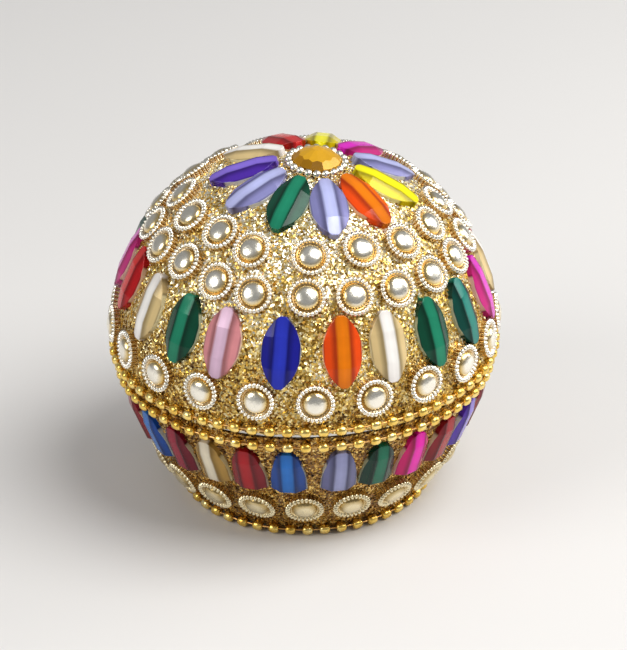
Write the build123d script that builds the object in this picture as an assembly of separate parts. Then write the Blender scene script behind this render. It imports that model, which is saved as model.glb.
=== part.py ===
from build123d import *
import math
import os

# A round sweet box in two spun metal halves, covered in glittering lac.
# Millimetres, +Z up. The origin is the centre of the flat underside, and the front faces -Y.
os.makedirs("parts", exist_ok=True)

# Both halves are spun from one sheet, and the lid's rim rests on the base's shoulder.
SHEET = 0.8
SHOULDER = 29.0

# Lid: a half ball with a short straight skirt under it. Its lac stops short of the rim.
LID_RADIUS = 36.5
LID_SKIRT = 3.7
LID_LAC = 1.6
LID_BARE_EDGE = 0.9
CROWN_CAP = 2.0

# Base: a bowl whose side is one long curve, with a neck that the lid slides over. Its lac ends a
# little inside the lid's and a little under the shoulder.
BASE_LAC = 1.0
BASE_STEP = 0.5
BASE_BARE_EDGE = 0.5
BOWL_CURVE = 90.0
UNDERSIDE_RADIUS = 21.0
FOOT_CORNER = 0.9
NECK_CLEARANCE = 0.4
NECK_RISE = 5.5

# The turned pieces are drawn with flats, fine enough to read as round.
FLATS = 32
DOME_STEPS = 7
BOWL_STEPS = 3
SEAT_GAP = 0.02

# Ball chains: the beads, their spacing, and how far the chains lie above the shoulder, under it
# and above the underside.
BEAD_WIDTH = 1.8
BEAD_LENGTH = 1.9
BEAD_PITCH = 3.35
LID_CHAIN_RISE = 1.85
BASE_CHAIN_DROP = 2.0
FOOT_CHAIN_RISE = 1.2

# Pressed metal studs.
STUD_WIDTH = 7.6
STUD_EDGE = 1.8
STUD_HEIGHT = 2.3
STUD_CROWN = 4.6
STUD_SIDES = 8

# Faceted acrylic stones: the boat-shaped ones of the lid and the arched ones of the base. Each has
# a level table along its middle, slopes down to a thin girdle and falls away to its blunt tips.
BOAT_LENGTH = 13.6
BOAT_WIDTH = 7.5
ARCH_LENGTH = 10.4
ARCH_WIDTH = 7.0
STONE_TIP = 1.2
STONE_HEIGHT = 1.7
STONE_GIRDLE = 0.5
STONE_TABLE = 3.0
STONE_LEVEL = 3.0
STONE_FALL = 0.7
EDGE_CUTS = 4

# Crown of the lid: a round stone in a ring of beads, with petals around it.
JEWEL_WIDTH = 9.2
JEWEL_HEIGHT = 3.2
JEWEL_GIRDLE = 1.1
JEWEL_TABLE = 4.6
JEWEL_SIDES = 12
CROWN_BEADS = 20
CROWN_BEAD = 1.4

# Rows of the lid, laid by hand from the chain upwards, the petals from the crown outwards. Each has
# its clearance from what lies before it, less than none where tips reach in between studs, where
# its first item sits, in steps of the row, how far the row leans to the right and to the front,
# and how far single items lie off their places (turn, rise).
LOW_ROW = dict(clear=0.78, first=-3.827, lean=(0.7, -0.6))
BOAT_ROW = dict(clear=-0.2, first=-4.474, lean=(2.3, 1.2),
                nudged={0: (0.0, 1.4), 3: (-1.9, 0.0), 5: (2.0, 0.4)})
MIDDLE_ROW = dict(clear=-0.85, first=-4.06, lean=(3.0, 0.5),
                  nudged={1: (0.0, 1.0), 3: (-2.0, -0.6)})
HIGH_ROW = dict(clear=0.1, first=-4.004, lean=(3.1, 0.4),
                nudged={2: (0.0, 1.2), 3: (-3.8, -0.4), 5: (0.8, 1.2)})
PETAL_ROW = dict(clear=1.05, first=-0.6875, lean=(4.6, 2.4), nudged={2: (0.0, 0.4)})
CROWN_PLACE = dict(number=1, latitude=90.0, first=0.0, lean=(4.6, 2.4))

# Rows of the base, from its upper chain downwards, and after which item of a row a wider space
# follows, in degrees.
ARCH_ROW = dict(clear=0.45, first=-5.4455, wider=(5, 3.5))
BASE_STUD_ROW = dict(clear=1.85, first=-3.056)

# The least room between the items of a row. The three lower rows of the lid stand in columns, so
# that the boat-shaped stones' tips reach in between the studs.
COLUMN_ROOM = 1.05
HIGH_ROOM = 1.7
PETAL_ROOM = 0.2
ARCH_ROOM = 0.2
BASE_STUD_ROOM = 1.1

# Colours in order towards the right, counted from the first stone of each row.
BOAT_COLOURS = ["red", "champagne", "green", "pink", "blue", "orange", "champagne", "green",
                "teal", "magenta", "champagne"]
ARCH_COLOURS = ["red", "blue", "maroon", "champagne", "red", "blue", "lavender", "green",
                "magenta", "red", "purple"]
PETAL_COLOURS = ["green", "lavender", "orange", "yellow", "lavender", "magenta", "yellow",
                 "red", "champagne", "purple", "lavender"]


def save(node, solids):
    """Write one node, a list of separate solids."""
    export_step(Compound(label=node, children=list(solids)), f"parts/{node}.step")


def band(one_end, other_end, sides):
    """A flat-sided ring between two (radius, height) ends, drawn in from the wider one."""
    wide, narrow = sorted((one_end, other_end), reverse=True)
    rise = narrow[1] - wide[1]
    taper = math.degrees(math.atan((wide[0] - narrow[0]) * math.cos(math.pi / sides) / abs(rise)))
    ring = extrude(RegularPolygon(wide[0], sides), abs(rise), taper=taper)
    return Pos(0, 0, wide[1]) * Rot(0 if rise > 0 else 180, 0, 0) * ring


def turned(profile, sides=FLATS):
    """A flat-sided round solid through a list of (radius, height) points, lowest first."""
    bands = [band(one_end, other_end, sides) for one_end, other_end in zip(profile, profile[1:])]
    return Part() + bands


def dome_profile(radius, edge):
    """The skirt from its lower edge, then the half ball up to a small flat at the top."""
    last = math.degrees(math.acos(CROWN_CAP / radius))
    points = [(radius, edge)]
    for step in range(DOME_STEPS + 1):
        rise = math.radians(last * step / DOME_STEPS)
        points.append((radius * math.cos(rise), dome_centre + radius * math.sin(rise)))
    return points


# The curve of the base's side, through the upper and lower edges of its lac.
dome_centre = SHOULDER + LID_SKIRT
lid_lac_edge = SHOULDER + LID_BARE_EDGE
rim_point = Vector(LID_RADIUS - BASE_STEP, SHOULDER - BASE_BARE_EDGE)
foot_point = Vector(UNDERSIDE_RADIUS + FOOT_CORNER + BASE_LAC, SHEET)
side = rim_point - foot_point
arm = math.sqrt(BOWL_CURVE**2 - (side.length / 2) ** 2)
bowl_centre = (rim_point + foot_point) / 2 + Vector(-side.Y, side.X).normalized() * arm


def bowl_radius(height, inset=0.0):
    """The radius of the bowl's side at a height, or of the curve a little way inside or outside it."""
    return bowl_centre.X + math.sqrt((BOWL_CURVE - inset) ** 2 - (height - bowl_centre.Y) ** 2)


def bowl_profile(inset, low, high):
    """Points up the bowl's side between two heights."""
    heights = [low + (high - low) * step / BOWL_STEPS for step in range(BOWL_STEPS + 1)]
    return [(bowl_radius(height, inset), height) for height in heights]


def bowl_fall(height):
    """How far below level the bowl's side faces at a height, in degrees."""
    return math.degrees(math.asin((bowl_centre.Y - height) / BOWL_CURVE))


def turn_of(row, step):
    """How far round one item of a row sits, in degrees from the front towards the right."""
    last, extra = row.get("wider", (row["number"], 0.0))
    pitch = (360 - extra) / row["number"]
    return pitch * (row["first"] + step) + (extra if step > last else 0)


def on_dome(row, step):
    """The seat of one item of a lid row: its own Z points out of the dome and its Y points up."""
    turn, rise = row.get("nudged", {}).get(step, (0.0, 0.0))
    lean_right, lean_front = row["lean"]
    tilt = Rot(lean_front, lean_right, 0)
    outwards = Rot(90 - row["latitude"] - rise, 0, 0) * Pos(0, 0, LID_RADIUS + SEAT_GAP)
    return Pos(0, 0, dome_centre) * tilt * Rot(0, 0, turn_of(row, step) + turn) * outwards


def on_bowl(row, step):
    """The seat of one item of a base row, square to the bowl's side."""
    height = row["height"]
    seat = Pos(0, -bowl_radius(height, -SEAT_GAP), height) * Rot(90 + bowl_fall(height), 0, 0)
    return Rot(0, 0, turn_of(row, step)) * seat


def number_round(radius, width, room):
    """How many items of a width go round a row of a radius."""
    return int(2 * math.pi * radius / (width + room))


def seats(row, surface):
    """The seats of a whole row on one of the two surfaces."""
    return [surface(row, step) for step in range(row["number"])]


def chain(height, ring_radius, fall=0.0):
    """Six-sided beads round a ring, each with a flat against the wall that falls away under it."""
    number = round(2 * math.pi * ring_radius / BEAD_PITCH)
    bead = extrude(Plane.YZ * RegularPolygon(BEAD_WIDTH / 2, 6, major_radius=False, rotation=30),
                   BEAD_LENGTH / 2, both=True)
    seat = Pos(0, -ring_radius, height) * Rot(fall, 0, 0)
    return [Rot(0, 0, 360 * step / number) * seat * bead for step in range(number)]


def stud():
    """A pressed stud on its flat back: an upright rolled edge and a raised crown."""
    levels = [(STUD_WIDTH / 2, 0), (STUD_WIDTH / 2, STUD_EDGE), (STUD_CROWN / 2, STUD_HEIGHT)]
    return turned(levels, STUD_SIDES)


def sin_of(turn):
    """The sine of an angle in degrees."""
    return math.sin(math.radians(turn))


def cos_of(turn):
    """The cosine of an angle in degrees."""
    return math.cos(math.radians(turn))


def edge_across(along, half_length, half_width):
    """How far a stone's curved edge stands from its middle line on its way to the blunt tip."""
    draw_in = half_width - STONE_TIP / 2
    curve = (half_length**2 + draw_in**2) / (2 * draw_in)
    return math.sqrt(curve**2 - along**2) - curve + half_width


def cut_stone(outline, width, long_section):
    """An upright outline cut by the stone's long section and by its table and side slopes."""
    low, high = long_section[0][0], max(along for along, height in long_section)
    half, table = width / 2 + 1, STONE_TABLE / 2
    slope = (STONE_HEIGHT - STONE_GIRDLE) / (width / 2 - table)
    eaves = STONE_HEIGHT - slope * (half - table)
    roof = [(-half, -width), (-half, eaves), (-table, STONE_HEIGHT), (table, STONE_HEIGHT),
            (half, eaves), (half, -width)]
    body = extrude(make_face(Polyline(*outline, close=True)), 2 * STONE_HEIGHT, both=True)
    lengthwise = extrude(Plane.YZ * make_face(Polyline(*long_section, close=True)), width, both=True)
    crosswise = extrude(Plane.XZ * make_face(Polyline(*roof, close=True)), high - low, both=True)
    return body & lengthwise & crosswise


def boat_stone():
    """A stone with two tips, lying along Y, whose back follows the dome's curve."""
    half = BOAT_LENGTH / 2
    turns = [180 * step / EDGE_CUTS - 90 for step in range(EDGE_CUTS + 1)]
    edge = [(edge_across(half * sin_of(turn), half, BOAT_WIDTH / 2), half * sin_of(turn)) for turn in turns]
    other_edge = [(-across, along) for across, along in reversed(edge)]
    drop = (half - STONE_LEVEL) * math.tan(2 * math.atan(STONE_LEVEL / LID_RADIUS))
    tip_height = STONE_HEIGHT - STONE_FALL
    long_section = [(-half, -drop), (-STONE_LEVEL, 0), (STONE_LEVEL, 0), (half, -drop),
                    (half, tip_height), (STONE_LEVEL, STONE_HEIGHT), (-STONE_LEVEL, STONE_HEIGHT),
                    (-half, tip_height)]
    return cut_stone(edge + other_edge, BOAT_WIDTH, long_section)


def arch_stone():
    """A stone with a straight foot under a round arch, standing along Y on a flat back."""
    low, high = -ARCH_LENGTH / 2, ARCH_LENGTH / 2
    draw_in = (ARCH_WIDTH - STONE_TIP) / 2
    turns = [90 * step / EDGE_CUTS for step in range(EDGE_CUTS + 1)]
    edge = [(STONE_TIP / 2 + draw_in * cos_of(turn), low + ARCH_LENGTH * sin_of(turn)) for turn in turns]
    other_edge = [(-across, along) for across, along in reversed(edge)]
    long_section = [(low, 0), (high, 0), (high, STONE_HEIGHT - STONE_FALL),
                    (high - STONE_LEVEL, STONE_HEIGHT), (low, STONE_HEIGHT)]
    return cut_stone(edge + other_edge, ARCH_WIDTH, long_section)


def save_by_colour(prefix, places, stone, colours):
    """One node for each colour of a row, its stones being separate solids."""
    groups = {}
    for step, place in enumerate(places):
        groups.setdefault(colours[step % len(colours)], []).append(place * stone)
    for colour, stones in groups.items():
        save(f"{prefix}_{colour}", stones)


# The base bowl: one spun sheet with a flat underside, a shoulder and a neck.
neck_outer = LID_RADIUS - LID_LAC - SHEET - NECK_CLEARANCE
neck_inner = neck_outer - SHEET
bowl_side = bowl_profile(BASE_LAC, foot_point.Y, rim_point.Y)
bowl = turned([(UNDERSIDE_RADIUS, 0), *bowl_side, (bowl_radius(SHOULDER, BASE_LAC), SHOULDER)])
bowl += turned([(neck_outer, SHOULDER - SHEET), (neck_outer, SHOULDER + NECK_RISE)])
bowl -= turned(bowl_profile(BASE_LAC + SHEET, SHEET, SHOULDER - SHEET))
bowl -= turned([(neck_inner, SHOULDER - 2 * SHEET), (neck_inner, SHOULDER + 2 * NECK_RISE)])
save("base_bowl", bowl.solids())

# The lac on the base, laid against the sheet.
base_lac = turned(bowl_profile(0, foot_point.Y, rim_point.Y)) - turned(bowl_side)
save("base_coat", base_lac.solids())

# The lid: the sheet, and the lac on it, which stops short of the rim.
lid_outer = turned(dome_profile(LID_RADIUS - LID_LAC, SHOULDER))
lid_inner = turned(dome_profile(LID_RADIUS - LID_LAC - SHEET, SHOULDER - SHEET))
save("lid_shell", (lid_outer - lid_inner).solids())
save("lid_coat", (turned(dome_profile(LID_RADIUS, lid_lac_edge)) - lid_outer).solids())

# Ball chains along the two edges that meet, and round the foot.
bead_out = BEAD_WIDTH / 2 + SEAT_GAP
lid_chain_height = SHOULDER + LID_CHAIN_RISE
base_chain_height = SHOULDER - BASE_CHAIN_DROP
save("lid_rim_chain", chain(lid_chain_height, LID_RADIUS + bead_out))
for name, height in (("base_rim_chain", base_chain_height), ("base_foot_chain", FOOT_CHAIN_RISE)):
    save(name, chain(height, bowl_radius(height, -bead_out), bowl_fall(height)))

# Where the rows lie: on the lid the distance up the dome's side grows from row to row, and on the
# base the height falls.
ring_radius = JEWEL_WIDTH / 2 + CROWN_BEAD / 2 + 2 * SEAT_GAP
lid_rows = (LOW_ROW, STUD_WIDTH), (BOAT_ROW, BOAT_LENGTH), (MIDDLE_ROW, STUD_WIDTH), (HIGH_ROW, STUD_WIDTH)
reach = lid_chain_height + BEAD_WIDTH / 2 - dome_centre
for row, length in lid_rows:
    row["latitude"] = math.degrees((reach + row["clear"] + length / 2) / LID_RADIUS)
    reach += row["clear"] + length
petal_reach = ring_radius + CROWN_BEAD / 2 + PETAL_ROW["clear"] + BOAT_LENGTH / 2
PETAL_ROW["latitude"] = 90 - math.degrees(petal_reach / LID_RADIUS)
ARCH_ROW["height"] = base_chain_height - BEAD_WIDTH / 2 - ARCH_ROW["clear"] - ARCH_LENGTH / 2
arch_foot = ARCH_ROW["height"] - ARCH_LENGTH / 2
BASE_STUD_ROW["height"] = arch_foot - BASE_STUD_ROW["clear"] - STUD_WIDTH / 2

# How many items each row holds.
columns = number_round(LID_RADIUS * cos_of(MIDDLE_ROW["latitude"]), STUD_WIDTH, COLUMN_ROOM)
for row in (LOW_ROW, BOAT_ROW, MIDDLE_ROW):
    row["number"] = columns
HIGH_ROW["number"] = number_round(LID_RADIUS * cos_of(HIGH_ROW["latitude"]), STUD_WIDTH, HIGH_ROOM)
PETAL_ROW["number"] = number_round(LID_RADIUS * cos_of(PETAL_ROW["latitude"]), BOAT_WIDTH, PETAL_ROOM)
ARCH_ROW["number"] = number_round(bowl_radius(arch_foot), ARCH_WIDTH, ARCH_ROOM)
BASE_STUD_ROW["number"] = number_round(bowl_radius(BASE_STUD_ROW["height"]), STUD_WIDTH, BASE_STUD_ROOM)

# Studs in three rows on the lid and one on the base.
one_stud = stud()
for name, row in (("low", LOW_ROW), ("middle", MIDDLE_ROW), ("high", HIGH_ROW)):
    save(f"lid_studs_{name}", [place * one_stud for place in seats(row, on_dome)])
save("base_studs", [place * one_stud for place in seats(BASE_STUD_ROW, on_bowl)])

# Stones in one row on the lid and one on the base, and the petals round the crown.
boat = boat_stone()
save_by_colour("lid_stones", seats(BOAT_ROW, on_dome), boat, BOAT_COLOURS)
save_by_colour("base_stones", seats(ARCH_ROW, on_bowl), arch_stone(), ARCH_COLOURS)
save_by_colour("crown_petals", seats(PETAL_ROW, on_dome), boat, PETAL_COLOURS)

# The crown's round stone and its ring of beads, which stand on the dome beside its edge.
crown = on_dome(CROWN_PLACE, 0)
jewel_levels = [(JEWEL_WIDTH / 2, 0), (JEWEL_WIDTH / 2, JEWEL_GIRDLE), (JEWEL_TABLE / 2, JEWEL_HEIGHT)]
save("crown_jewel", [crown * turned(jewel_levels, JEWEL_SIDES)])
ring_drop = LID_RADIUS - math.sqrt(LID_RADIUS**2 - (JEWEL_WIDTH / 2) ** 2)
ring_bead = Pos(0, -ring_radius, -ring_drop) * extrude(RegularPolygon(CROWN_BEAD / 2, 6), CROWN_BEAD)
save("crown_bead_ring", [crown * Rot(0, 0, 360 * step / CROWN_BEADS) * ring_bead
                         for step in range(CROWN_BEADS)])
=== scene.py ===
import math
import random

import bmesh
import bpy
from mathutils import Matrix, Vector, noise


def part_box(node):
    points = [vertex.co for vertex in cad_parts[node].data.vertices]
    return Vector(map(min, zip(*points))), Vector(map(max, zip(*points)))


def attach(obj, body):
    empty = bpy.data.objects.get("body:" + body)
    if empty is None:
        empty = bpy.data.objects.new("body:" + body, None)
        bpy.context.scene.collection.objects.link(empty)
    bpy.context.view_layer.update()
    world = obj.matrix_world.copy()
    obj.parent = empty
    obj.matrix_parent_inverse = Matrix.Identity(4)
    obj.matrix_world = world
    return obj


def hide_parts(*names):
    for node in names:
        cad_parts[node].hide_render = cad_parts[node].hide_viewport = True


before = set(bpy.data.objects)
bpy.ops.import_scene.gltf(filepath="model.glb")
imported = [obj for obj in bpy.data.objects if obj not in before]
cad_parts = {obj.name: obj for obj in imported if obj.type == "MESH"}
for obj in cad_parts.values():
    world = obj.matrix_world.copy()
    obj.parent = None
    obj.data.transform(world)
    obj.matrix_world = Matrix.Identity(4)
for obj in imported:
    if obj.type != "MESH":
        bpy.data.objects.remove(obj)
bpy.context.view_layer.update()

# The base bowl. Thin aluminium sheet spun over a former and left bare, with the lathe's rings in
# it: a flat floor, one long curved side, a shoulder for the lid to rest on and an upright neck for
# the lid to slide over.
MM = 0.001
SHEET = 0.8 * MM
FLOOR_RADIUS = 21.0 * MM
BOWL_CURVE = 90.0 * MM
LAC_TOP = Vector((36.0, 28.5)) * MM
LAC_FOOT = Vector((22.9, 0.8)) * MM
BASE_LAC = 1.0 * MM
SHOULDER = 29.0 * MM
NECK_RADIUS = 33.7 * MM
NECK_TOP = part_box("base_bowl")[1].z
NECK_BEND = 0.35 * MM
TRIMMED = 0.2 * MM
OUTER_FOOT = 1.6 * MM
INNER_FOOT = 2.0 * MM
SIDE_STEPS = 24
ONE_POINT = 0.01 * MM

side = LAC_TOP - LAC_FOOT
arm = math.sqrt(BOWL_CURVE**2 - (side.length / 2) ** 2)
bowl_centre = (LAC_TOP + LAC_FOOT) / 2 + Vector((-side.y, side.x)).normalized() * arm


def bowl_radius(height, inset=0.0):
    """The radius of the bowl's side at a height, or of a curve a little way inside or outside it."""
    return bowl_centre.x + math.sqrt((BOWL_CURVE - inset) ** 2 - (height - bowl_centre.y) ** 2)


def up_the_bowl(inset, low, high, steps):
    """Points (radius, height) up the bowl's side between two heights."""
    heights = [low + (high - low) * step / steps for step in range(steps + 1)]
    return [(bowl_radius(height, inset), height) for height in heights]


def spun(outline, turns=192):
    """A closed outline of (radius, height) points turned round the upright axis into one skin."""
    bm = bmesh.new()
    corners = [bm.verts.new((radius, 0, height)) for radius, height in outline]
    edges = [bm.edges.new(pair) for pair in zip(corners, corners[1:] + corners[:1])]
    bmesh.ops.spin(bm, geom=corners + edges, cent=(0, 0, 0), axis=(0, 0, 1), angle=math.tau,
                   steps=turns, use_merge=True)
    bmesh.ops.remove_doubles(bm, verts=bm.verts, dist=ONE_POINT)
    bmesh.ops.recalc_face_normals(bm, faces=bm.faces)
    return bm


def to_piece(bm, name, material, smooth=True):
    """The finished mesh as an object, with its place in its mesh."""
    mesh = bpy.data.meshes.new(name)
    bm.to_mesh(mesh)
    bm.free()
    for face in mesh.polygons:
        face.use_smooth = smooth
    piece = bpy.data.objects.new(name, mesh)
    bpy.context.scene.collection.objects.link(piece)
    mesh.materials.append(material)
    return piece


def soft_edges(piece, angle=35):
    """Shades the piece smooth, with crisp edges where its faces meet at more than an angle."""
    piece.data.set_sharp_from_angle(angle=math.radians(angle))


class Value:
    """A shader socket that takes part in sums as a number does."""

    def __init__(self, finish, socket):
        self.finish, self.socket = finish, socket

    def beside(self, output):
        """Another output of the node that this socket is on."""
        return Value(self.finish, self.socket.node.outputs[output])

    def maths(self, operation, *terms):
        return self.finish.node("Math", {"operation": operation}, dict(enumerate(terms)))

    def __abs__(self):
        return self.maths("ABSOLUTE", self)

    def __add__(self, other):
        return self.maths("ADD", self, other)

    def __sub__(self, other):
        return self.maths("SUBTRACT", self, other)

    def __rsub__(self, other):
        return self.maths("SUBTRACT", other, self)

    def __mul__(self, other):
        return self.maths("MULTIPLY", self, other)

    __radd__ = __add__
    __rmul__ = __mul__


class Finish:
    """A material built round one shader, whose plain numbers are set on its own sockets."""

    def __init__(self, name, **plain):
        self.material = bpy.data.materials.new(name)
        self.material.use_nodes = True
        self.tree = self.material.node_tree
        self.shader = self.tree.nodes["Principled BSDF"]
        for socket, value in plain.items():
            self.shader.inputs[socket.replace("_", " ")].default_value = value

    def node(self, kind, settings=None, sockets=None, output=0):
        """Adds a node, first its settings, then the values or links of its sockets."""
        node = self.tree.nodes.new("ShaderNode" + kind)
        for key, value in (settings or {}).items():
            if key == "stops":
                ramp = node.color_ramp.elements
                ramp.remove(ramp[1])
                ramp[0].position, ramp[0].color = value[0][0], (*value[0][1], 1)
                for position, colour in value[1:]:
                    ramp.new(position).color = (*colour, 1)
            else:
                setattr(node, key, value)
        for key, value in (sockets or {}).items():
            if isinstance(value, Value):
                self.tree.links.new(value.socket, node.inputs[key])
            else:
                node.inputs[key].default_value = value
        return Value(self, node.outputs[output])

    def feed(self, socket, value):
        """Links a value that changes over the surface to the shader."""
        self.tree.links.new(value.socket, self.shader.inputs[socket])

    def place(self):
        """Where a point of the surface lies on the whole box."""
        return self.node("TexCoord", output="Object")

    def height(self):
        """How high a point of the surface lies."""
        return self.node("SeparateXYZ", {}, {0: self.place()}).beside("Z")

    def noise(self, scale, detail=4.0, where=None):
        """Soft random patches, from 0 to 1."""
        sockets = {"Vector": where or self.place(), "Scale": scale, "Detail": detail}
        return self.node("TexNoise", {}, sockets)

    def ramp(self, level, *stops):
        """A colour for each level, between stops of (level, colour)."""
        return self.node("ValToRGB", {"stops": stops}, {0: level})

    def mixed(self, share, under, over, way="MIX"):
        """Two colours mixed. A colour Mix node has them on its sockets 6 and 7."""
        settings = {"data_type": "RGBA", "blend_type": way}
        return self.node("Mix", settings, {0: share, 6: under, 7: over}, output=2)

    def bump(self, height, distance, strength=1.0):
        """Shallow relief that is too fine for the mesh."""
        sockets = {"Height": height, "Distance": distance, "Strength": strength}
        self.feed("Normal", self.node("Bump", {}, sockets))


def bare_sheet():
    """Spun aluminium: grey, satin, with lathe rings and dull patches."""
    finish = Finish("bare_sheet", Metallic=1.0)
    across = finish.node("VectorMath", {"operation": "LENGTH"}, {0: finish.place()}, output="Value")
    along_the_sheet = {"W": finish.height() + across, "Scale": 5200, "Detail": 3}
    rings = finish.node("TexNoise", {"noise_dimensions": "1D"}, along_the_sheet)
    patches = finish.noise(90)
    finish.feed("Base Color", finish.ramp(patches, (0.3, (0.42, 0.41, 0.39)), (0.7, (0.74, 0.73, 0.71))))
    finish.feed("Roughness", rings * 0.22 + patches * 0.18 + 0.12)
    finish.bump(rings, 0.02 * MM, 0.6)
    return finish.material


sheet_metal = bare_sheet()
shoulder_edge = bowl_radius(SHOULDER, BASE_LAC)
under_floor = [(0, 0), (FLOOR_RADIUS - 0.5 * MM, 0), (FLOOR_RADIUS + 0.3 * MM, 0.3 * MM)]
outer_side = up_the_bowl(BASE_LAC, OUTER_FOOT, LAC_TOP.y, SIDE_STEPS)
shoulder = [(shoulder_edge - 0.1 * MM, SHOULDER - TRIMMED), (shoulder_edge - 0.3 * MM, SHOULDER),
            (NECK_RADIUS + NECK_BEND, SHOULDER)]
neck = [(NECK_RADIUS, SHOULDER + NECK_BEND), (NECK_RADIUS, NECK_TOP - TRIMMED),
        (NECK_RADIUS - TRIMMED, NECK_TOP), (NECK_RADIUS - SHEET + TRIMMED, NECK_TOP),
        (NECK_RADIUS - SHEET, NECK_TOP - TRIMMED), (NECK_RADIUS - SHEET, SHOULDER - SHEET)]
inner_side = up_the_bowl(BASE_LAC + SHEET, INNER_FOOT, SHOULDER - 1.3 * SHEET, SIDE_STEPS)
floor_inside = [(FLOOR_RADIUS - 0.6 * MM, 1.0 * MM), (FLOOR_RADIUS - 2.0 * MM, SHEET), (0, SHEET)]
bowl_outline = [*under_floor, *outer_side, *shoulder, *neck, *reversed(inner_side), *floor_inside]
base_bowl = to_piece(spun(bowl_outline), "bowl_sheet", sheet_metal)
soft_edges(base_bowl)
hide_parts("base_bowl")
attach(base_bowl, "base")

# The lac on the base. Warm brown lac with gold glitter stirred into it, pressed on by hand about
# a millimetre thick. It is left rough, with grains of glitter standing up all over it, and it is
# squeezed up a little round whatever is set in it.
GRAIN = 0.55 * MM
GRAIN_LIFT = (0.08 * MM, 0.24 * MM)
GRAIN_TILT = 0.081 * MM
ROUGHNESS = 0.09 * MM
SQUEEZED_UP = 0.12 * MM
SWELL = 0.16 * MM
SWELL_WIDTH = 2.2 * MM
HEM_FACING = -0.3
# Painted light: the lid's lac is made paler above this height.
PAINTED_LIGHT_FROM = 55 * MM
LAC_LAP = 0.1 * MM


def set_grains(bm, share, seed, widest=1.0):
    """Makes the lac's outside uneven and stands a share of its faces up as separate grains."""
    chance = random.Random(seed)

    def shift(size):
        return Vector([chance.uniform(-size, size) for _ in range(3)])

    def outside(place, normal):
        out = (place - Vector((0, 0, min(place.z, widest)))).normalized()
        return normal.dot(out) > HEM_FACING

    # The operators' own order changes from run to run, so everything is drawn for in order of place.
    order = bm.faces.layers.int.new("order")
    ranks = {vert: rank for rank, vert in enumerate(sorted(bm.verts, key=lambda vert: vert.co[:]))}
    faces = sorted(bm.faces, key=lambda face: sorted(ranks[vert] for vert in face.verts))
    bm.normal_update()
    for vert in ranks:
        if outside(vert.co, vert.normal):
            swell = SQUEEZED_UP + SWELL * noise.noise(vert.co / SWELL_WIDTH)
            vert.co += vert.normal * swell + shift(ROUGHNESS)
    bm.normal_update()
    picked = [face for face in faces
              if outside(face.calc_center_median(), face.normal) and chance.random() < share]
    for step, face in enumerate(picked):
        face[order] = step
    grains = bmesh.ops.extrude_discrete_faces(bm, faces=picked)["faces"]
    for face in sorted(grains, key=lambda face: face[order]):
        lift = face.normal * chance.uniform(*GRAIN_LIFT)
        for vert in sorted(face.verts, key=lambda vert: vert.co[:]):
            vert.co += lift + shift(GRAIN_TILT)
    bm.faces.layers.int.remove(order)
    bm.normal_update()


def glitter_lac(name, stops, flakes, sparkle, painted_light_up=0.0):
    """Glitter in lac: every grain has its own tint, gloss and tilt, over a darker ground, and painted
    light can make it paler higher up.
    """
    finish = Finish(name, Metallic=0.85, Coat_Weight=0.3, Coat_Roughness=0.12)
    grains = {"Vector": finish.place(), "Scale": flakes}
    tint = finish.node("TexVoronoi", {}, grains, output="Color")
    lot = finish.node("SeparateColor", {}, {0: tint})
    drift = finish.noise(140, 3)
    # The height term is painted light, making the lac paler the higher it lies.
    level = lot * 0.70 + drift * 0.60 - 0.15 + (finish.height() - PAINTED_LIGHT_FROM) * painted_light_up
    finish.feed("Base Color", finish.ramp(level, *stops))
    finish.feed("Roughness", lot.beside("Green") * 0.34 + 0.12)
    centred = finish.node("VectorMath", {"operation": "SUBTRACT"}, {0: tint, 1: (0.5, 0.5, 0.5)})
    turned = finish.node("VectorMath", {"operation": "SCALE"}, {0: centred, "Scale": sparkle})
    face = finish.node("NewGeometry", output="Normal")
    tilted = finish.node("VectorMath", {"operation": "ADD"}, {0: face, 1: turned})
    finish.feed("Normal", finish.node("VectorMath", {"operation": "NORMALIZE"}, {0: tilted}))
    return finish.material


brown_gold = glitter_lac("brown_gold_lac", [
    (0.0, (0.05, 0.018, 0.003)), (0.35, (0.20, 0.085, 0.012)), (0.6, (0.48, 0.25, 0.04)),
    (0.82, (0.80, 0.55, 0.15)), (1.0, (1.0, 0.88, 0.50))], 2600, 0.9)
lac_face = up_the_bowl(0, LAC_FOOT.y, LAC_TOP.y, round(side.length / GRAIN))
lac_back = up_the_bowl(BASE_LAC + LAC_LAP, LAC_FOOT.y + SHEET, LAC_TOP.y, 12)
base_lac_skin = spun(lac_face + lac_back[::-1], turns=round(math.tau * LAC_TOP.x / GRAIN))
set_grains(base_lac_skin, 0.28, 11)
base_lac = to_piece(base_lac_skin, "base_lac", brown_gold, smooth=False)
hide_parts("base_coat")
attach(base_lac, "base")

# The arched stones of the base. Moulded acrylic with a foil back, a flat foot and a blunt tip, cut
# with a table, two long slopes and a fall to the tip, and pressed into the lac side by side.
ARCH_LENGTH = 10.4 * MM
ARCH_WIDTH = 7.0 * MM
STONE_TIP = 1.2 * MM
STONE_HEIGHT = 1.7 * MM
STONE_GIRDLE = 0.5 * MM
STONE_TABLE = 3.0 * MM
STONE_LEVEL = 3.0 * MM
STONE_FALL = 0.7 * MM
STONE_ROOT = 0.8 * MM
STONE_CORNER_OUT = 0.96
STONE_CORNER_IN = 0.9
STONE_CORNER_RISE = 0.04 * MM
STONE_CORNER_SINK = 0.06 * MM
STONE_CREASE = 0.15
STONE_BEVEL = 0.09 * MM
STONE_OUTLINE_STEPS = 56
STONE_SLACK = 1.2
ARCH_SEAT = 20.45 * MM


def grind(bm, point, normal):
    """Cuts away what lies beyond a plane and closes the cut with one flat facet."""
    geometry = bm.verts[:] + bm.edges[:] + bm.faces[:]
    bmesh.ops.bisect_plane(bm, geom=geometry, plane_co=point, plane_no=Vector(normal).normalized(),
                           dist=ONE_POINT, clear_outer=True)
    bmesh.ops.remove_doubles(bm, verts=bm.verts, dist=ONE_POINT)
    bmesh.ops.contextual_create(bm, geom=[edge for edge in bm.edges if edge.is_boundary])


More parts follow.
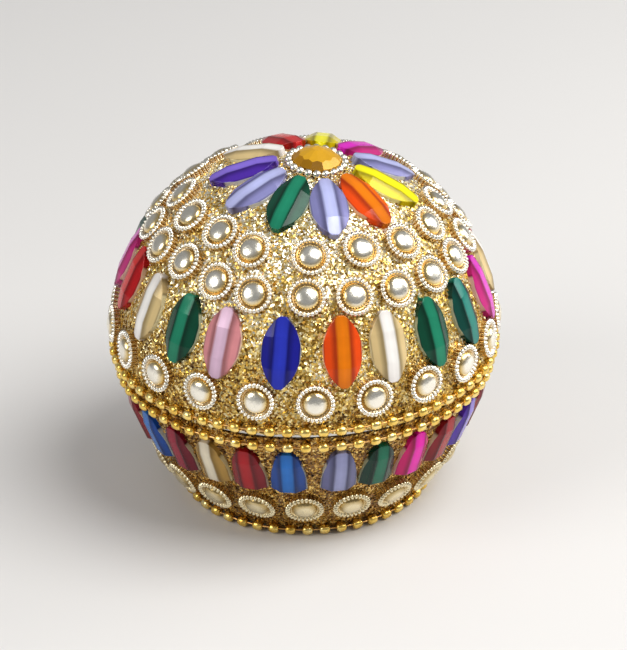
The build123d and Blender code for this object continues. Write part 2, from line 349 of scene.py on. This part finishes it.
def grind_corner(bm, inner, beside, ahead):
    """Cuts one corner facet, from a corner of the table down to the girdle and out to the tip."""
    out = (beside - inner).cross(ahead - inner)
    grind(bm, inner, out if out.z > 0 else -out)


def facet_stone(bm, half_length, half_width, ends):
    """Raises an outline into a stone with a table, long slopes and, at its ends, falls and corners."""
    up = bmesh.ops.extrude_face_region(bm, geom=bm.faces[:])["geom"]
    top = [item for item in up if isinstance(item, bmesh.types.BMVert)]
    bmesh.ops.translate(bm, verts=top, vec=(0, 0, STONE_ROOT + 2 * STONE_HEIGHT))
    bmesh.ops.translate(bm, verts=bm.verts, vec=(0, 0, -STONE_ROOT))
    bmesh.ops.recalc_face_normals(bm, faces=bm.faces)
    table, drop = STONE_TABLE / 2, STONE_HEIGHT - STONE_GIRDLE
    grind(bm, (0, 0, STONE_HEIGHT), (0, 0, 1))
    for hand in (1, -1):
        grind(bm, (hand * table, 0, STONE_HEIGHT), (hand * drop, 0, half_width - table))
    for end in ends:
        level = half_length - STONE_LEVEL if len(ends) == 1 else STONE_LEVEL
        grind(bm, (0, end * level, STONE_HEIGHT), (0, end * STONE_FALL, half_length - level))
        tip_height = STONE_HEIGHT - STONE_FALL - STONE_CORNER_SINK
        inner = Vector((table, end * level, STONE_HEIGHT))
        beside = Vector((half_width * STONE_CORNER_OUT, end * level, STONE_GIRDLE + STONE_CORNER_RISE))
        ahead = Vector((table * STONE_CORNER_IN, end * half_length, tip_height))
        for hand in (1, -1):
            mirror = Vector((hand, 1, 1))
            grind_corner(bm, inner * mirror, beside * mirror, ahead * mirror)
    bmesh.ops.remove_doubles(bm, verts=bm.verts, dist=6 * ONE_POINT)
    sharp = [edge for edge in bm.edges if len(edge.link_faces) == 2
             and edge.calc_face_angle() > STONE_CREASE and max(vert.co.z for vert in edge.verts) > 0]
    bmesh.ops.bevel(bm, geom=sharp, offset=STONE_BEVEL, offset_type="OFFSET", segments=2,
                    profile=0.5, affect="EDGES", material=-1, clamp_overlap=True)
    bmesh.ops.remove_doubles(bm, verts=bm.verts, dist=2 * ONE_POINT)
    bmesh.ops.recalc_face_normals(bm, faces=bm.faces)
    chart_stone(bm, half_length, half_width)
    return bm


def chart_stone(bm, half_length, half_width):
    """Charts the stone across and along, stretched at its walls so that they take the painted highlight
    at the edge.
    """
    chart = bm.loops.layers.uv.new("across_along")
    for face in bm.faces:
        wide = 2 * half_width if face.normal.z > 0.35 else 1.6 * half_width
        for loop in face.loops:
            place = loop.vert.co
            loop[chart].uv = (0.5 + place.x / wide, 0.5 + place.y / (2 * half_length))


def round_face():
    """A flat round face of radius 1, to be drawn out into a stone's outline."""
    bm = bmesh.new()
    bmesh.ops.create_circle(bm, cap_ends=True, segments=STONE_OUTLINE_STEPS, radius=1)
    half_a_step = Matrix.Rotation(math.pi / STONE_OUTLINE_STEPS, 3, "Z")
    bmesh.ops.rotate(bm, verts=bm.verts, matrix=half_a_step)
    return bm


def arch_stone():
    """A stone with a straight foot under a round arch."""
    bm = round_face()
    for vert in bm.verts:
        across, rise = abs(vert.co.x), max(0, vert.co.y)
        arched = STONE_TIP / 2 + (ARCH_WIDTH - STONE_TIP) / 2 * across
        reach = arched if rise else ARCH_WIDTH / 2 * across
        vert.co = (math.copysign(reach, vert.co.x), ARCH_LENGTH * (rise - 0.5), 0)
    bmesh.ops.dissolve_limit(bm, angle_limit=0.01, verts=bm.verts, edges=bm.edges)
    return facet_stone(bm, ARCH_LENGTH / 2, ARCH_WIDTH / 2, (1,))


def separate_items(node):
    """The middle and the points of each separate solid of a CAD node."""
    bm = bmesh.new()
    bm.from_mesh(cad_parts[node].data)
    bmesh.ops.remove_doubles(bm, verts=bm.verts, dist=ONE_POINT / 10)
    seen, items = set(), []
    for start in bm.verts:
        if start in seen:
            continue
        seen.add(start)
        group = [start]
        for vert in group:
            for edge in vert.link_edges:
                other = edge.other_vert(vert)
                if other not in seen:
                    seen.add(other)
                    group.append(other)
        points = [vert.co.copy() for vert in group]
        items.append((sum(points, Vector()) / len(points), points))
    bm.free()
    return items


def seat(place, out, up):
    """A matrix that stands an item on its place, its own Z pointing out and its own Y pointing up."""
    out = out.normalized()
    up = (up - out * up.dot(out)).normalized()
    return Matrix.Translation(place) @ Matrix((up.cross(out), up, out)).transposed().to_4x4()


def seats_on_bowl(node, height):
    """Seats square to the bowl's side at one height, one for each solid of a CAD node."""
    fall = math.asin((bowl_centre.y - height) / BOWL_CURVE)
    seats = []
    for middle, _ in separate_items(node):
        front = Vector((middle.x, middle.y, 0)).normalized()
        out = front * math.cos(fall) - Vector((0, 0, math.sin(fall)))
        place = front * bowl_radius(height) + Vector((0, 0, height))
        seats.append(seat(place, out, Vector((0, 0, 1))))
    return seats


def set_out(pattern, seats, slack=0.0, seed=0):
    """Copies of one small mesh on many seats, as one mesh, each askew by up to slack degrees."""
    chance = random.Random(seed)
    small = bpy.data.meshes.new("pattern")
    pattern.to_mesh(small)
    whole = bmesh.new()
    for place in seats:
        already = len(whole.verts)
        whole.from_mesh(small)
        whole.verts.ensure_lookup_table()
        for axis in "XY":
            place = place @ Matrix.Rotation(math.radians(chance.uniform(-slack, slack)), 4, axis)
        bmesh.ops.transform(whole, matrix=place, verts=whole.verts[already:])
    bpy.data.meshes.remove(small)
    return whole


def foil_stone(name, deep, table):
    """Coloured acrylic over foil with painted light: a painted foil reflection down the table, painted
    shade lines and ends, deep slopes and a painted highlight at the edge.
    """
    finish = Finish(name, Metallic=0.1, Coat_Weight=0.16, Coat_Roughness=0.06, IOR=1.4,
                    Specular_IOR_Level=0.28)
    chart = finish.node("UVMap", {"uv_map": "across_along"})
    across = finish.node("SeparateXYZ", {}, {0: chart})
    along = across.beside("Y")
    drawn = finish.node("Mapping", {}, {"Vector": chart, "Scale": (9, 1.2, 1)})
    streak = finish.noise(1.0, 3, drawn)
    cloud = finish.noise(260, 2)
    painted_shade_line = tuple(channel * 0.50 for channel in deep)
    light = tuple(channel * 1.12 for channel in table)
    pale = (0.45 + deep[0] * 0.5, 0.45 + deep[1] * 0.5, 0.30 + deep[2] * 0.5)
    # Painted light across the stone: the light middle is a painted reflection of the foil, the dark lines
    # are painted shade and the pale rim is a painted highlight.
    off_the_middle = abs(across - 0.5) * 1.6 + (streak - 0.5) * 0.10
    painted_foil_band = finish.ramp(off_the_middle, (0.0, light), (0.20, table), (0.30, painted_shade_line), (0.35, painted_shade_line),
                       (0.52, deep), (0.70, deep), (0.75, painted_shade_line), (0.80, pale), (1.0, pale))
    # Painted shade towards the stone's ends, mixed with random clouds of tone.
    ends = abs(along - 0.5) * 2
    shade = ends * ends * 0.5 + (cloud - 0.5) * 0.8 + 0.1
    finish.feed("Base Color", finish.mixed(shade, painted_foil_band, (0.62, 0.58, 0.58, 1), "MULTIPLY"))
    finish.feed("Roughness", cloud * 0.2 + 0.12)
    finish.bump(finish.noise(450, 2), 0.03 * MM, 0.4)
    return finish.material


# Each colour of acrylic, its slopes and then its table. The base's stones take deeper shades, partly
# colours of their own and partly painted shade.
STONES = {
    "red": ((0.47, 0.007, 0.010), (0.62, 0.020, 0.018)),
    "blue": ((0.011, 0.012, 0.27), (0.022, 0.036, 0.46)),
    "cobalt": ((0.005, 0.055, 0.29), (0.015, 0.15, 0.52)),
    "ruby": ((0.22, 0.003, 0.010), (0.36, 0.007, 0.012)),
    "dusk": ((0.14, 0.145, 0.30), (0.31, 0.33, 0.56)),
    "bottle": ((0.001, 0.036, 0.020), (0.005, 0.14, 0.075)),
    "rose": ((0.62, 0.005, 0.15), (0.80, 0.002, 0.42)),
    "honey": ((0.44, 0.26, 0.055), (0.70, 0.63, 0.48)),
    "maroon": ((0.15, 0.004, 0.016), (0.27, 0.008, 0.030)),
    "champagne": ((0.70, 0.53, 0.25), (0.92, 0.90, 0.86)),
    "lavender": ((0.23, 0.23, 0.48), (0.44, 0.47, 0.78)),
    "green": ((0.003, 0.062, 0.032), (0.012, 0.21, 0.115)),
    "magenta": ((0.55, 0.020, 0.20), (0.66, 0.005, 0.50)),
    "purple": ((0.075, 0.025, 0.36), (0.22, 0.14, 0.66)),
    "pink": ((0.70, 0.27, 0.29), (0.66, 0.45, 0.60)),
    "orange": ((0.82, 0.072, 0.004), (0.74, 0.18, 0.002)),
    "teal": ((0.003, 0.060, 0.045), (0.008, 0.20, 0.16)),
    "yellow": ((0.66, 0.55, 0.004), (0.88, 0.82, 0.006)),
}
# Painted shade: the base's stones take these deeper colours, partly hues of their own and partly darkened
# for shade.
DEEPER_AND_SHADED_ON_THE_BASE = {"blue": "cobalt", "red": "ruby", "lavender": "dusk", "green": "bottle",
               "magenta": "rose", "champagne": "honey"}
acrylic = {name: foil_stone("acrylic_" + name, *shades) for name, shades in STONES.items()}


def stones_of(prefix, pattern, seats_of, body, deeper_and_shaded):
    """One piece for each colour node of a row, in place of that node."""
    for node in sorted(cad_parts):
        if node.startswith(prefix):
            colour = node.removeprefix(prefix)
            row = set_out(pattern, seats_of(node), STONE_SLACK, node)
            stones = to_piece(row, prefix + "set_" + colour, acrylic[deeper_and_shaded.get(colour, colour)])
            soft_edges(stones, 9)
            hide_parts(node)
            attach(stones, body)


stones_of("base_stones_", arch_stone(), lambda node: seats_on_bowl(node, ARCH_SEAT), "base", DEEPER_AND_SHADED_ON_THE_BASE)

# The studs. Pale gilt metal pressed into cups and stuck on by their flat backs: an upright fluted
# wall, a rim of small beads, a groove inside the rim and a smooth bright crown in the middle.
STUD_SEAT = 9.6 * MM
STUD_SLACK = 3.0
STUD_CREASE = 70
STUD_BEADS = 26
STUD_BEAD_CIRCLE = 3.24
STUD_BEAD_HALF = Vector((0.55, 0.385))
STUD_BEAD_RISE = 0.48
STUD_GROOVE = 2.7
STUD_WALL = 3.45
FLUTE = 0.30
CORNERS_A_BEAD = 6
STUD_OUTLINE = [(3.64, -0.40), (3.66, 0.60), (3.72, 1.10), (3.79, 1.24), (3.76, 1.32), (3.64, 1.34),
                (3.48, 1.34), (3.28, 1.34), (3.08, 1.34), (2.92, 1.34), (2.78, 1.30), (2.70, 1.24),
                (2.58, 1.18), (2.44, 1.14), (2.36, 1.28), (2.18, 1.62), (1.84, 1.92), (1.38, 2.12),
                (0.88, 2.25), (0.40, 2.32)]


def extend(bm, rim):
    """Draws a loop of edges out of itself and gives the new loop."""
    drawn = bmesh.ops.extrude_edge_only(bm, edges=rim)["geom"]
    return [item for item in drawn if isinstance(item, bmesh.types.BMEdge)]


def corners_of(edges):
    """The corners of some edges, each once."""
    return list(dict.fromkeys(vert for edge in edges for vert in edge.verts))


def ringed(corners, outline, shaped):
    """Rings raised one from the other along an outline of (radius, height) points in millimetres."""
    bm = bmesh.new()
    bmesh.ops.create_circle(bm, cap_ends=True, segments=corners, radius=1)
    rim = bm.edges[:]
    for step, (radius, height) in enumerate(outline):
        if step:
            rim = extend(bm, rim)
        for vert in corners_of(rim):
            turn = math.atan2(vert.co.y, vert.co.x)
            reach, level = shaped(turn, radius, height)
            vert.co = Vector((reach * math.cos(turn), reach * math.sin(turn), level)) * MM
    bmesh.ops.contextual_create(bm, geom=rim)
    bmesh.ops.recalc_face_normals(bm, faces=bm.faces)
    return bm


def press(turn, radius, height):
    """Where one point of the stud's outline goes, with the rim's beads and the wall's flutes."""
    beside = (turn * STUD_BEADS / math.tau + 0.5) % 1 - 0.5
    along = beside * math.tau / STUD_BEADS * STUD_BEAD_CIRCLE / STUD_BEAD_HALF.y
    across = (radius - STUD_BEAD_CIRCLE) / STUD_BEAD_HALF.x
    domed = math.sqrt(max(0, 1 - along**2 - across**2)) if radius > STUD_GROOVE else 0
    fluted = (2 * beside) ** 2 if radius > STUD_WALL else 0
    return radius - FLUTE * fluted, height + STUD_BEAD_RISE * domed


def pressed_stud():
    """One stud, charted outwards from its middle and upwards from its back."""
    bm = ringed(STUD_BEADS * CORNERS_A_BEAD, STUD_OUTLINE, press)
    chart = bm.loops.layers.uv.new("out_and_up")
    for face in bm.faces:
        for loop in face.loops:
            place = loop.vert.co
            loop[chart].uv = (Vector(place[:2]).length / (4 * MM), place.z / (2.6 * MM))
    return bm


def gilt(name, crown, ring, foot):
    """Gilding, pale on the crown and beads, with painted shade round the crown, in the groove, between
    the beads and down the wall, and painted highlights on the outer ridges.
    """
    finish = Finish(name, Metallic=1.0)
    out = finish.node("SeparateXYZ", {}, {0: finish.node("UVMap", {"uv_map": "out_and_up"})})
    up = out.beside("Y")
    worn = finish.noise(700, 4)
    ragged = (worn - 0.5) * 0.10
    # Painted shade: a dark line in the groove, made from the ring's colour.
    deep = tuple(channel * 0.62 for channel in ring)
    # Across the stud: pale crown, painted shade deepening round its edge and in the groove, then pale
    # beads and rim.
    inward_with_painted_shade = finish.ramp(out + ragged, (0.0, crown), (0.34, crown), (0.54, ring), (0.58, deep),
                         (0.61, deep), (0.65, crown), (1.0, crown))
    # Painted shade by height: low on the wall and between the beads the deeper foot colour shows.
    painted_shade_upward = finish.node("MapRange", {}, {0: up + ragged, 1: 0.36, 2: 0.64, 3: 0.10, 4: 1.0})
    # Painted highlight: the outermost parts, the flute crests and the rim's lip, are made paler.
    painted_ridge_highlight = finish.node("MapRange", {}, {0: out, 1: 0.85, 2: 0.93, 3: 0.0, 4: 0.5})
    finish.feed("Base Color", finish.mixed(painted_shade_upward + painted_ridge_highlight, (*foot, 1), inward_with_painted_shade))
    finish.feed("Roughness", worn * 0.24 + 0.13)
    finish.bump(finish.noise(900, 2), 0.12 * MM, 0.6)
    return finish.material


gilding = gilt("pale_gilt", (0.96, 0.92, 0.81), (0.74, 0.55, 0.23), (0.60, 0.34, 0.055))
# Painted shade and light: the base's studs take a copy of the gilding with a darker crown and ring and a
# lighter wall.
base_gilding_shaded = gilt("base_gilt", (0.80, 0.70, 0.46), (0.46, 0.33, 0.13), (0.70, 0.50, 0.20))
stud_pattern = pressed_stud()
base_row = set_out(stud_pattern, seats_on_bowl("base_studs", STUD_SEAT), STUD_SLACK, 3)
base_studs = to_piece(base_row, "base_gilt_studs", base_gilding_shaded)
soft_edges(base_studs, STUD_CREASE)
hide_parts("base_studs")
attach(base_studs, "base")

# The ball chains. Hollow brass beads with cut facets, threaded on short copper-coloured pins and
# pressed into the edge of the lac: one on each of the two edges that meet, and one round the foot.
BEAD_OUTLINE = [(0.34, -1.02), (0.76, -0.92), (1.00, -0.46), (1.00, 0.46), (0.76, 0.92), (0.34, 1.02)]
BEAD_SIDES = 8
BEAD_SLACK = 4.0
BEAD_CREASE = 60
PIN_RADIUS = 0.19 * MM
PIN_SIDES = 6


def chain_bead():
    """One bead along its own X, with a flat facing out."""
    bm = ringed(BEAD_SIDES, BEAD_OUTLINE, lambda turn, radius, height: (radius, height))
    for axis, turn in (("Z", math.pi / BEAD_SIDES), ("Y", math.pi / 2)):
        bmesh.ops.rotate(bm, verts=bm.verts, matrix=Matrix.Rotation(turn, 3, axis))
    return bm


def chain_brass():
    """Yellow brass, in random patches from browner to brighter."""
    finish = Finish("chain_brass", Metallic=1.0)
    finish.feed("Base Color", finish.ramp(finish.noise(420, 3), (0.25, (0.72, 0.42, 0.06)),
                                          (0.5, (0.96, 0.68, 0.17)), (0.75, (1.0, 0.84, 0.40))))
    finish.feed("Roughness", finish.noise(800, 3) * 0.25 + 0.14)
    return finish.material


def pin_copper():
    """The pins' redder brass, a little tarnished."""
    finish = Finish("pin_copper", Metallic=1.0)
    finish.feed("Base Color", finish.ramp(finish.noise(500), (0.3, (0.60, 0.30, 0.08)),
                                          (0.7, (0.90, 0.58, 0.22))))
    finish.feed("Roughness", finish.noise(900) * 0.2 + 0.2)
    return finish.material


brass, copper = chain_brass(), pin_copper()
bead_pattern = chain_bead()


def lay_chain(node, body):
    """Beads on the places of a chain node, and the pins as one thin ring through them."""
    middles = [middle for middle, _ in separate_items(node)]
    seats = [seat(middle, Vector((middle.x, middle.y, 0)), Vector((0, 0, 1))) for middle in middles]
    beads = to_piece(set_out(bead_pattern, seats, BEAD_SLACK, node), node + "_beads", brass)
    soft_edges(beads, BEAD_CREASE)
    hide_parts(node)
    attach(beads, body)
    radius, height = Vector(middles[0][:2]).length, middles[0].z
    around = [(radius + PIN_RADIUS * math.cos(turn), height + PIN_RADIUS * math.sin(turn))
              for turn in (math.tau * step / PIN_SIDES for step in range(PIN_SIDES))]
    pins = to_piece(spun(around, turns=144), node + "_pins", copper)
    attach(pins, body)


lay_chain("base_rim_chain", "base")
lay_chain("base_foot_chain", "base")
lay_chain("lid_rim_chain", "lid")

# The lid's sheet. The same spun aluminium as the bowl, a half ball on a short straight skirt,
# whose edge is turned out into a bead that rests on the base's shoulder and shows under the lac.
DOME_CENTRE = Vector((0, 0, 32.7 * MM))
LID_RADIUS = 36.5 * MM
LID_LAC = 1.6 * MM
LID_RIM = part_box("lid_shell")[0].z
LID_LAC_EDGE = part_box("lid_coat")[0].z
RIM_RADIUS = LID_RADIUS - 0.15 * MM
DOME_STEPS = 40


def over_the_dome(radius, steps):
    """Points (radius, height) from the dome's widest level up to its pole."""
    rises = [math.pi / 2 * step / steps for step in range(steps + 1)]
    return [(radius * math.cos(rise), DOME_CENTRE.z + radius * math.sin(rise)) for rise in rises]


outer, inner = LID_RADIUS - LID_LAC, LID_RADIUS - LID_LAC - SHEET
turned_out = [(RIM_RADIUS - 0.35 * MM, LID_RIM), (RIM_RADIUS - 0.08 * MM, LID_RIM + 0.15 * MM),
              (RIM_RADIUS, LID_RIM + 0.45 * MM), (RIM_RADIUS - 0.08 * MM, LID_LAC_EDGE - 0.10 * MM),
              (RIM_RADIUS - 0.40 * MM, LID_LAC_EDGE + 0.05 * MM), (outer, LID_LAC_EDGE + 0.30 * MM)]
poles = [(0, DOME_CENTRE.z + outer), (0, DOME_CENTRE.z + inner)]
rim_inside = [(inner, LID_RIM + TRIMMED), (inner + TRIMMED, LID_RIM)]
lid_outline = [*turned_out, *over_the_dome(outer, DOME_STEPS)[:-1], *poles,
               *over_the_dome(inner, DOME_STEPS)[-2::-1], *rim_inside]
lid_sheet = to_piece(spun(lid_outline), "lid_sheet", sheet_metal)
soft_edges(lid_sheet)
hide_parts("lid_shell")
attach(lid_sheet, "lid")

# The lac on the lid. Paler and more thickly glittered than the base's, laid by hand over the whole
# dome, and made paler still towards the top with painted light. Its hem ends just above the metal
# rim at the front and sags over it everywhere else.
HEM = 1.2 * MM
HEM_MIDDLE = -math.pi / 2 - 0.03
HEM_EVEN = 0.30
HEM_CHANGE = 0.16
HEM_SAG = 0.62
HEM_WAVE = 0.25
HEM_WAVE_WIDTH = 4 * MM


def half_ball():
    """The upper half of a ball of small triangles, each about as wide as a grain."""
    bm = bmesh.new()
    bmesh.ops.create_icosphere(bm, subdivisions=7, radius=LID_RADIUS)
    bmesh.ops.bisect_plane(bm, geom=bm.verts[:] + bm.edges[:] + bm.faces[:], plane_co=(0, 0, 0),
                           plane_no=(0, 0, -1), dist=ONE_POINT, clear_outer=True)
    bmesh.ops.remove_doubles(bm, verts=bm.verts, dist=2 * ONE_POINT)
    bmesh.ops.translate(bm, verts=bm.verts, vec=DOME_CENTRE)
    return bm


def lid_lac_skin():
    """The half ball with a skirt under it, closed behind by a skin that lies inside the sheet."""
    bm = half_ball()
    rim = [edge for edge in bm.edges if edge.is_boundary]
    skirt_steps = round((DOME_CENTRE.z - LID_LAC_EDGE) / GRAIN)
    for _ in range(skirt_steps):
        rim = extend(bm, rim)
        step_down = (0, 0, (LID_LAC_EDGE - DOME_CENTRE.z) / skirt_steps)
        bmesh.ops.translate(bm, verts=corners_of(rim), vec=step_down)
    back = [(LID_RADIUS, LID_LAC_EDGE), (outer, LID_LAC_EDGE), *over_the_dome(outer - LAC_LAP, 16)]
    for (wide, low), (narrow, high) in zip(back, back[1:]):
        rim = extend(bm, rim)
        ring = corners_of(rim)
        bmesh.ops.scale(bm, verts=ring, vec=(narrow / wide, narrow / wide, 1))
        bmesh.ops.translate(bm, verts=ring, vec=(0, 0, high - low))
    bmesh.ops.remove_doubles(bm, verts=ring, dist=ONE_POINT)
    bmesh.ops.recalc_face_normals(bm, faces=bm.faces)
    return bm


def sag_hem(bm):
    """Lets the lac's hem down over the metal rim, except for an even stretch at the front."""
    for vert in bm.verts:
        share = 1 - (vert.co.z - LID_LAC_EDGE) / HEM
        if share > 0 and Vector(vert.co[:2]).length > outer + TRIMMED:
            turn = math.atan2(vert.co.y, vert.co.x)
            away = abs((turn - HEM_MIDDLE + math.pi) % math.tau - math.pi)
            let_down = min(1, max(0, (away - HEM_EVEN) / HEM_CHANGE))
            sag = let_down * (HEM_SAG + HEM_WAVE * noise.noise(vert.co / HEM_WAVE_WIDTH))
            vert.co.z -= share * sag * (LID_LAC_EDGE - LID_RIM)


# Painted light: this lac is made paler the higher it lies.
pale_gold = glitter_lac("pale_gold_lac", [
    (0.0, (0.17, 0.075, 0.008)), (0.24, (0.50, 0.29, 0.035)), (0.44, (0.84, 0.60, 0.16)),
    (0.64, (0.93, 0.80, 0.44)), (0.82, (0.97, 0.94, 0.82)), (1.0, (0.97, 0.97, 0.95))],
    2400, 1.0, painted_light_up=9.0)
dome_skin = lid_lac_skin()
sag_hem(dome_skin)
set_grains(dome_skin, 0.32, 5, DOME_CENTRE.z)
lid_lac = to_piece(dome_skin, "lid_lac", pale_gold, smooth=False)
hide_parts("lid_coat")
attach(lid_lac, "lid")

# The boat-shaped stones: one row round the lid and the petals round its crown. They are of the
# same moulded, foil-backed acrylic as the base's, with a blunt tip at both ends.
BOAT_LENGTH = 13.6 * MM
BOAT_WIDTH = 7.5 * MM
TIP_REACH = 1.6 * MM


def edge_across(along, half_length, half_width):
    """How far a stone's curved edge stands from its middle line on its way to the blunt tip."""
    draw_in = half_width - STONE_TIP / 2
    curve = (half_length**2 + draw_in**2) / (2 * draw_in)
    return math.sqrt(curve**2 - along**2) - curve + half_width


def boat_stone():
    """A stone with two tips between two arcs."""
    bm = round_face()
    half_length, half_width = BOAT_LENGTH / 2, BOAT_WIDTH / 2
    for vert in bm.verts:
        along = half_length * vert.co.y
        across = edge_across(along, half_length, half_width)
        vert.co = (math.copysign(across, vert.co.x), along, 0)
    return facet_stone(bm, half_length, half_width, (1, -1))


def seats_on_dome(node):
    """Seats square to the dome, one for each solid of a CAD node, turned along its longest way."""
    seats = []
    for middle, points in separate_items(node):
        out = (middle - DOME_CENTRE).normalized()
        far = max(points, key=lambda point: (point - middle).length)
        ends = []
        for tip in (far, max(points, key=lambda point: (point - far).length)):
            blunt = [point for point in points if (point - tip).length < TIP_REACH]
            ends.append(sum(blunt, Vector()) / len(blunt))
        way = ends[0] - ends[1]
        seats.append(seat(DOME_CENTRE + out * LID_RADIUS, out, way if way.z > 0 else -way))
    return seats


boat_pattern = boat_stone()
stones_of("lid_stones_", boat_pattern, seats_on_dome, "lid", {})
stones_of("crown_petals_", boat_pattern, seats_on_dome, "lid", {})

# The studs of the lid. The same pressed cups as the base's, in the pale gilding that the base's copy
# darkens with painted shade, stuck on in three rows: one under the boat-shaped stones and two above them.
for level in ("low", "middle", "high"):
    node = "lid_studs_" + level
    row = set_out(stud_pattern, seats_on_dome(node), STUD_SLACK, node)
    studs = to_piece(row, node + "_gilt", gilding)
    soft_edges(studs, STUD_CREASE)
    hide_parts(node)
    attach(studs, "lid")

# The crown's stone. One round amber stone of foil-backed acrylic, cut with a table and two belts
# of facets, and pressed into the lac at the top of the lid.
JEWEL_RADIUS = 4.6 * MM
JEWEL_HEIGHT = 3.2 * MM
JEWEL_ROOT = 0.5 * MM
JEWEL_FACETS = 12
JEWEL_BELTS = [(4.45 * MM, 1.1 * MM, 42), (3.35 * MM, 2.1 * MM, 24)]
# How far the table and the other facets may be drawn from the painted reflection down the chart's middle.
TABLE_TONE = 0.14
FACET_TONE = 0.34


def round_stone():
    """The cut stone. Each facet's tone comes from its own place on the finish's chart: at random, the
    table's within the painted reflection, the others reaching into painted shade.
    """
    bm = bmesh.new()
    bmesh.ops.create_cone(bm, cap_ends=True, segments=48, radius1=JEWEL_RADIUS, radius2=JEWEL_RADIUS,
                          depth=2 * JEWEL_HEIGHT)
    bmesh.ops.translate(bm, verts=bm.verts, vec=(0, 0, JEWEL_HEIGHT - JEWEL_ROOT))
    bmesh.ops.recalc_face_normals(bm, faces=bm.faces)
    for belt, (reach, height, lean) in enumerate(JEWEL_BELTS):
        tilt = math.radians(lean)
        for step in range(JEWEL_FACETS):
            turn = math.tau * (step + belt / 2) / JEWEL_FACETS
            way = Vector((math.cos(turn), math.sin(turn), 0))
            grind(bm, way * reach + Vector((0, 0, height)),
                  way * math.sin(tilt) + Vector((0, 0, math.cos(tilt))))
    grind(bm, (0, 0, JEWEL_HEIGHT), (0, 0, 1))
    chart = bm.loops.layers.uv.new("across_along")
    chance = random.Random(7)
    for face in bm.faces:
        deepest = TABLE_TONE if face.normal.z > 0.8 else FACET_TONE
        tone = (0.5 + chance.uniform(0.02, deepest), 0.5 + chance.uniform(0, 0.3))
        for loop in face.loops:
            loop[chart].uv = tone
    return bm


amber = foil_stone("acrylic_amber", (0.50, 0.23, 0.006), (0.62, 0.33, 0.016))
set_jewel = set_out(round_stone(), seats_on_dome("crown_jewel"))
jewel_stone = to_piece(set_jewel, "crown_amber_stone", amber, smooth=False)
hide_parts("crown_jewel")
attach(jewel_stone, "lid")

# The ring round the crown's stone. Small plain balls of gilt metal, laid close round the stone
# and pressed a little into the lac.
BALL_RADIUS = 0.82 * MM
BALL_LIFT = 0.72 * MM


def crown_ball():
    """One ball, charted so that the gilding is pale on it, with painted shade making it a little deeper
    at its foot.
    """
    bm = bmesh.new()
    bmesh.ops.create_icosphere(bm, subdivisions=3, radius=BALL_RADIUS)
    bmesh.ops.translate(bm, verts=bm.verts, vec=(0, 0, BALL_LIFT))
    chart = bm.loops.layers.uv.new("out_and_up")
    for face in bm.faces:
        for loop in face.loops:
            loop[chart].uv = (0.9, 0.35 + loop.vert.co.z / (4 * MM))
    return bm


def seats_round_the_crown():
    """Seats at the feet of the ring's solids, all pointing the way that the crown's stone does."""
    out = seats_on_dome("crown_jewel")[0].to_3x3() @ Vector((0, 0, 1))
    seats = []
    for middle, points in separate_items("crown_bead_ring"):
        low = min((point - DOME_CENTRE).dot(out) for point in points)
        foot = middle - out * ((middle - DOME_CENTRE).dot(out) - low)
        seats.append(seat(foot, out, Vector((0, 0, 1))))
    return seats


crown_balls = to_piece(set_out(crown_ball(), seats_round_the_crown()), "crown_gilt_beads", gilding)
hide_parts("crown_bead_ring")
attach(crown_balls, "lid")

# The floor under the box. One wide sheet of pale matt board, with faint clouds in its tone. It is
# the stage and no part of the box.
floor_mesh = bmesh.new()
bmesh.ops.create_grid(floor_mesh, x_segments=1, y_segments=1, size=3)
board = Finish("pale_floor", Roughness=0.6)
board.feed("Base Color", board.ramp(board.noise(3), (0.0, (0.70, 0.69, 0.68)), (1.0, (0.74, 0.73, 0.72))))
floor = to_piece(floor_mesh, "floor", board.material)

# The light: a wide soft window high in front on the right, weaker ones on the left and behind on
# the right, and an even pale surround.
world = bpy.data.worlds.new("surround")
bpy.context.scene.world = world
world.use_nodes = True
background = world.node_tree.nodes["Background"]
background.inputs["Color"].default_value = (0.98, 0.985, 1.0, 1)
background.inputs["Strength"].default_value = 0.29


def window(name, place, size, power, tint):
    """A round soft lamp at a place, in metres and watts, that faces the lid."""
    lamp = bpy.data.lights.new(name, "AREA")
    lamp.shape, lamp.size, lamp.energy, lamp.color = "DISK", size, power, tint
    holder = bpy.data.objects.new(name, lamp)
    bpy.context.scene.collection.objects.link(holder)
    holder.location = place
    holder.rotation_euler = (DOME_CENTRE - Vector(place)).to_track_quat("-Z", "Y").to_euler()


window("window_right", (0.38, -0.16, 0.66), 0.60, 5.6, (1.0, 0.99, 0.97))
window("window_left", (-0.55, -0.30, 0.42), 0.45, 2.0, (1.0, 0.98, 0.95))
window("window_side", (0.60, 0.22, 0.30), 0.40, 1.6, (1.0, 0.98, 0.95))

# The camera. It stands on the photograph's line of sight, with the photograph's framing: the
# dome's middle falls on the same pixel, and the picture leans by the same small angle.
ELEVATION = math.radians(28.5)
DISTANCE = 0.600
LENS_PIXELS = 3056.7
PICTURE = (627, 650)
DOME_PIXEL = (304.2, 327.5)
ROLL = math.radians(0.98)
ahead = Vector((0, math.cos(ELEVATION), -math.sin(ELEVATION)))
level_right, level_up = Vector((1, 0, 0)), Vector((0, math.sin(ELEVATION), math.cos(ELEVATION)))
right = level_right * math.cos(ROLL) - level_up * math.sin(ROLL)
up = level_right * math.sin(ROLL) + level_up * math.cos(ROLL)
per_pixel = DISTANCE / LENS_PIXELS
to_the_right = right * (PICTURE[0] / 2 - DOME_PIXEL[0]) * per_pixel
upwards = up * (DOME_PIXEL[1] - PICTURE[1] / 2) * per_pixel
camera_data = bpy.data.cameras.new("camera")
camera_data.sensor_fit, camera_data.sensor_width = "HORIZONTAL", 36
camera_data.lens = camera_data.sensor_width * LENS_PIXELS / PICTURE[0]
camera = bpy.data.objects.new("camera", camera_data)
bpy.context.scene.collection.objects.link(camera)
camera_place = DOME_CENTRE - ahead * DISTANCE + to_the_right + upwards
camera_turn = Matrix((right, up, -ahead)).transposed().to_4x4()
camera.matrix_world = Matrix.Translation(camera_place) @ camera_turn
bpy.context.scene.camera = camera
bpy.context.scene.view_settings.view_transform = "Standard"
